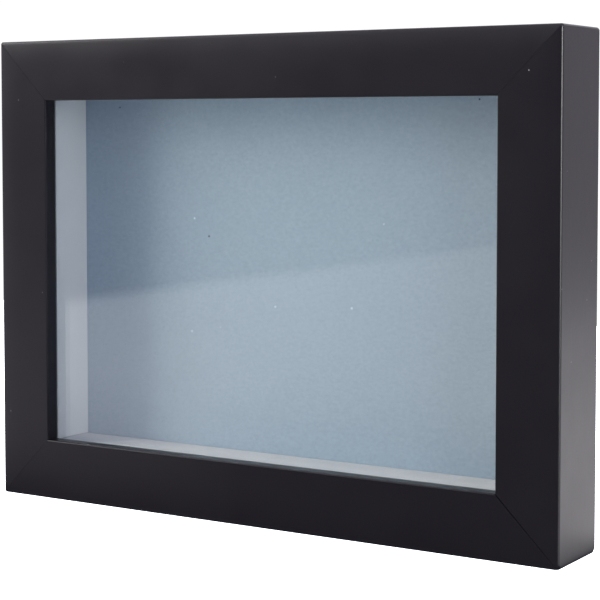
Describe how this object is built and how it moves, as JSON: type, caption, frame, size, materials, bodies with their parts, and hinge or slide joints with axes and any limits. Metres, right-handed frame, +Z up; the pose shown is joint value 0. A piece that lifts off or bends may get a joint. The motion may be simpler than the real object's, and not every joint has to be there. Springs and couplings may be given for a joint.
{
  "type": "shadow box",
  "caption": "Deep black mitred shadow box frame with glass front, spacer-lined display space, lift-out back and turn buttons.",
  "frame": {"origin": "middle of the whole footprint, on the surface that the box stands on", "axes": "+X to the right seen from the front, +Y towards the rear, +Z up; the glass faces -Y"},
  "size_m": [0.201, 0.0296, 0.15],
  "materials": {
    "frame": "satin black lacquer on fine-grained wood",
    "glazing": "clear polished picture glass",
    "spacers": "matte pale grey mount board",
    "display_card": "matte blue-grey paper-faced board",
    "backing_board": "brown hardboard, smooth side out",
    "zinc_steel": "zinc-plated sheet steel",
    "brass_plate": "brass-plated steel",
    "rubber": "matte dark grey rubber"
  },
  "bodies": {
    "frame": {"rail_left": "frame", "rail_bottom": "frame", "rail_right": "frame", "rail_top": "frame", "glass_pane": "glazing", "spacer_left": "spacers", "spacer_right": "spacers", "spacer_bottom": "spacers", "spacer_top": "spacers", "button_screw_bottom_left": "zinc_steel", "button_screw_bottom_right": "zinc_steel", "button_screw_top_left": "zinc_steel", "button_screw_top_right": "zinc_steel", "sawtooth_hanger_top": "brass_plate", "sawtooth_hanger_right": "brass_plate", "hanger_nail_top_left": "brass_plate", "hanger_nail_top_right": "brass_plate", "hanger_nail_right_lower": "brass_plate", "hanger_nail_right_upper": "brass_plate", "bumper_bottom_left": "rubber", "bumper_bottom_right": "rubber", "bumper_top_left": "rubber", "bumper_top_right": "rubber", "v_nail_bottom_left": "zinc_steel", "v_nail_bottom_right": "zinc_steel", "v_nail_top_right": "zinc_steel", "v_nail_top_left": "zinc_steel"},
    "back_panel": {"display_card": "display_card", "backing_board": "backing_board"},
    "button_bottom_left": {"turn_button_bottom_left": "zinc_steel"},
    "button_bottom_right": {"turn_button_bottom_right": "zinc_steel"},
    "button_top_left": {"turn_button_top_left": "zinc_steel"},
    "button_top_right": {"turn_button_top_right": "zinc_steel"}
  },
  "joints": [
    {"name": "back_panel_lift_out", "type": "slide", "parent": "frame", "child": "back_panel", "axis": [0, 1, 0], "range_m": [0, 0.045]},
    {"name": "button_bottom_left_turn", "type": "hinge", "parent": "frame", "child": "button_bottom_left", "pos_m": [-0.055, 0.01124, 0.0056], "axis": [0, 1, 0], "range_deg": [0, 90]},
    {"name": "button_bottom_right_turn", "type": "hinge", "parent": "frame", "child": "button_bottom_right", "pos_m": [0.055, 0.01124, 0.0056], "axis": [0, -1, 0], "range_deg": [0, 90]},
    {"name": "button_top_left_turn", "type": "hinge", "parent": "frame", "child": "button_top_left", "pos_m": [-0.055, 0.01124, 0.1444], "axis": [0, -1, 0], "range_deg": [0, 90]},
    {"name": "button_top_right_turn", "type": "hinge", "parent": "frame", "child": "button_top_right", "pos_m": [0.055, 0.01124, 0.1444], "axis": [0, 1, 0], "range_deg": [0, 90]}
  ]
}
